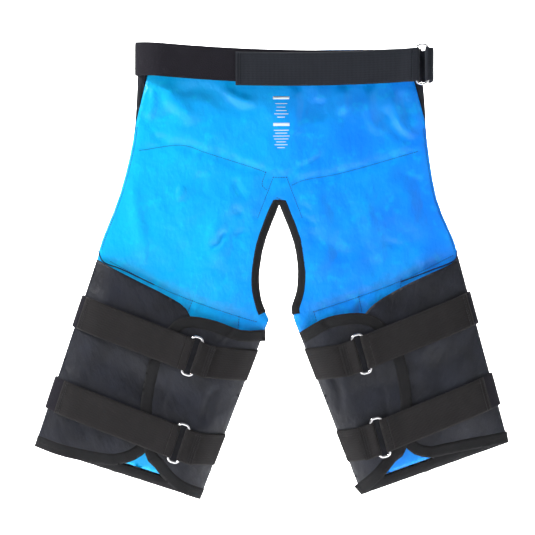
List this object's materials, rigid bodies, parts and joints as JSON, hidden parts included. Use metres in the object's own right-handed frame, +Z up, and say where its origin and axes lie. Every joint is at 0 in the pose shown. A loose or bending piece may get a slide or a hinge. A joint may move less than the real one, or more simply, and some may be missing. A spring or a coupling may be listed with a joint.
{
  "type": "chainsaw chaps",
  "caption": "Short wrap-round chainsaw chaps: padded front for both legs, belt with ring and hook-and-loop return, and strapped flaps behind each leg.",
  "frame": {"origin": "middle of the closed belt loop, at the belt's mid-height", "axes": "+X across the chaps, +Y towards the wearer's front, +Z up towards the wearer's head; the belt strap, flaps and rings are on the -Y side"},
  "size_m": [0.7005, 0.0473, 0.6756],
  "materials": {
    "nylon": "coated black nylon, slight blue sheen",
    "lining": "glossy bright blue nylon lining",
    "padding": "layered cut-resistant fibre",
    "binding": "matte woven edge tape",
    "webbing": "black ribbed webbing with loop face",
    "hook_tape": "black hook tape",
    "ring_steel": "bright nickel plate"
  },
  "bodies": {
    "panel": {"outer_shell_left": "nylon", "outer_shell_right": "nylon", "protective_pad_left": "padding", "protective_pad_right": "padding", "lining": "lining", "waist_facing_left": "nylon", "waist_facing_right": "nylon", "hem_binding_left": "binding", "hem_binding_right": "binding", "inseam_binding": "binding", "crotch_patch": "lining", "waistband": "webbing", "belt_ring_anchor": "webbing"},
    "belt_strap": {"belt_strap": "webbing"},
    "belt_return": {"belt_return": "webbing", "belt_hook_tab": "hook_tape"},
    "belt_ring": {"belt_ring": "ring_steel", "belt_turn": "webbing"},
    "left_lateral_flap": {"left_lateral_flap": "nylon", "left_lateral_flap_binding": "binding"},
    "left_medial_flap": {"left_medial_flap": "nylon", "left_medial_flap_binding": "binding", "left_upper_ring_anchor": "webbing", "left_lower_ring_anchor": "webbing"},
    "left_upper_strap": {"left_upper_strap": "webbing"},
    "left_upper_return": {"left_upper_return": "webbing", "left_upper_hook_tab": "hook_tape"},
    "left_upper_ring": {"left_upper_ring": "ring_steel", "left_upper_turn": "webbing"},
    "left_lower_strap": {"left_lower_strap": "webbing"},
    "left_lower_return": {"left_lower_return": "webbing", "left_lower_hook_tab": "hook_tape"},
    "left_lower_ring": {"left_lower_ring": "ring_steel", "left_lower_turn": "webbing"},
    "right_lateral_flap": {"right_lateral_flap": "nylon", "right_lateral_flap_binding": "binding"},
    "right_medial_flap": {"right_medial_flap": "nylon", "right_medial_flap_binding": "binding", "right_upper_ring_anchor": "webbing", "right_lower_ring_anchor": "webbing"},
    "right_upper_strap": {"right_upper_strap": "webbing"},
    "right_upper_return": {"right_upper_return": "webbing", "right_upper_hook_tab": "hook_tape"},
    "right_upper_ring": {"right_upper_ring": "ring_steel", "right_upper_turn": "webbing"},
    "right_lower_strap": {"right_lower_strap": "webbing"},
    "right_lower_return": {"right_lower_return": "webbing", "right_lower_hook_tab": "hook_tape"},
    "right_lower_ring": {"right_lower_ring": "ring_steel", "right_lower_turn": "webbing"}
  },
  "joints": [
    {"name": "belt_open", "type": "hinge", "parent": "panel", "child": "belt_strap", "pos_m": [-0.21788, 0.00935, 0.01193], "axis": [0, 0, -1], "range_deg": [0, 150]},
    {"name": "belt_peel", "type": "hinge", "parent": "belt_strap", "child": "belt_return", "pos_m": [0.1851, -0.02, 0.00022], "axis": [0, 0, 1], "range_deg": [0, 165]},
    {"name": "belt_ring_swing", "type": "hinge", "parent": "panel", "child": "belt_ring", "pos_m": [0.209, -0.0158, 0.00102], "axis": [0, 0, 1], "range_deg": [0, 35]},
    {"name": "left_upper_strap_open", "type": "hinge", "parent": "panel", "child": "left_upper_strap", "pos_m": [-0.30305, 0.00703, -0.36061], "axis": [-0.3156, 0, -0.9489], "range_deg": [0, 120]},
    {"name": "left_lower_strap_open", "type": "hinge", "parent": "panel", "child": "left_lower_strap", "pos_m": [-0.34282, 0.00703, -0.48017], "axis": [-0.3156, 0, -0.9489], "range_deg": [0, 120]},
    {"name": "left_medial_flap_open", "type": "hinge", "parent": "panel", "child": "left_medial_flap", "pos_m": [-0.12419, 0.0087, -0.63828], "axis": [0.3587, 0, 0.9334], "range_deg": [0, 60]},
    {"name": "left_lateral_flap_open", "type": "hinge", "parent": "panel", "child": "left_lateral_flap", "pos_m": [-0.369, 0.0087, -0.56], "axis": [-0.3156, 0, -0.9489], "range_deg": [0, 24]},
    {"name": "left_upper_peel", "type": "hinge", "parent": "left_upper_strap", "child": "left_upper_return", "pos_m": [-0.14933, -0.024, -0.41954], "axis": [0.3156, 0, 0.9489], "range_deg": [0, 165]},
    {"name": "left_upper_ring_swing", "type": "hinge", "parent": "left_medial_flap", "child": "left_upper_ring", "pos_m": [-0.127, -0.0198, -0.42811], "axis": [0.3156, 0, 0.9489], "range_deg": [0, 35]},
    {"name": "left_lower_peel", "type": "hinge", "parent": "left_lower_strap", "child": "left_lower_return", "pos_m": [-0.16948, -0.024, -0.54662], "axis": [0.3156, 0, 0.9489], "range_deg": [0, 165]},
    {"name": "left_lower_ring_swing", "type": "hinge", "parent": "left_medial_flap", "child": "left_lower_ring", "pos_m": [-0.14714, -0.0198, -0.55519], "axis": [0.3156, 0, 0.9489], "range_deg": [0, 35]},
    {"name": "right_upper_strap_open", "type": "hinge", "parent": "panel", "child": "right_upper_strap", "pos_m": [0.27767, 0.00703, -0.35548], "axis": [-0.2605, 0, 0.9655], "range_deg": [0, 120]},
    {"name": "right_lower_strap_open", "type": "hinge", "parent": "panel", "child": "right_lower_strap", "pos_m": [0.30997, 0.00703, -0.4752], "axis": [-0.2605, 0, 0.9655], "range_deg": [0, 120]},
    {"name": "right_medial_flap_open", "type": "hinge", "parent": "panel", "child": "right_medial_flap", "pos_m": [0.11363, 0.0087, -0.63179], "axis": [0.3607, 0, -0.9327], "range_deg": [0, 60]},
    {"name": "right_lateral_flap_open", "type": "hinge", "parent": "panel", "child": "right_lateral_flap", "pos_m": [0.331, 0.0087, -0.5545], "axis": [-0.2605, 0, 0.9655], "range_deg": [0, 24]},
    {"name": "right_upper_peel", "type": "hinge", "parent": "right_upper_strap", "child": "right_upper_return", "pos_m": [0.12683, -0.024, -0.41624], "axis": [0.2605, 0, -0.9655], "range_deg": [0, 165]},
    {"name": "right_upper_ring_swing", "type": "hinge", "parent": "right_medial_flap", "child": "right_upper_ring", "pos_m": [0.10451, -0.0198, -0.42524], "axis": [0.2605, 0, -0.9655], "range_deg": [0, 35]},
    {"name": "right_lower_peel", "type": "hinge", "parent": "right_lower_strap", "child": "right_lower_return", "pos_m": [0.15447, -0.024, -0.53784], "axis": [0.2605, 0, -0.9655], "range_deg": [0, 165]},
    {"name": "right_lower_ring_swing", "type": "hinge", "parent": "right_medial_flap", "child": "right_lower_ring", "pos_m": [0.13214, -0.0198, -0.54684], "axis": [0.2605, 0, -0.9655], "range_deg": [0, 35]}
  ],
  "couplings": [
    {"joint": "left_lower_strap_open", "follows": "left_upper_strap_open", "ratio": 1},
    {"joint": "left_medial_flap_open", "follows": "left_upper_strap_open", "ratio": 0.5},
    {"joint": "left_lateral_flap_open", "follows": "left_upper_strap_open", "ratio": 0.2},
    {"joint": "right_lower_strap_open", "follows": "right_upper_strap_open", "ratio": 1},
    {"joint": "right_medial_flap_open", "follows": "right_upper_strap_open", "ratio": 0.5},
    {"joint": "right_lateral_flap_open", "follows": "right_upper_strap_open", "ratio": 0.2}
  ]
}
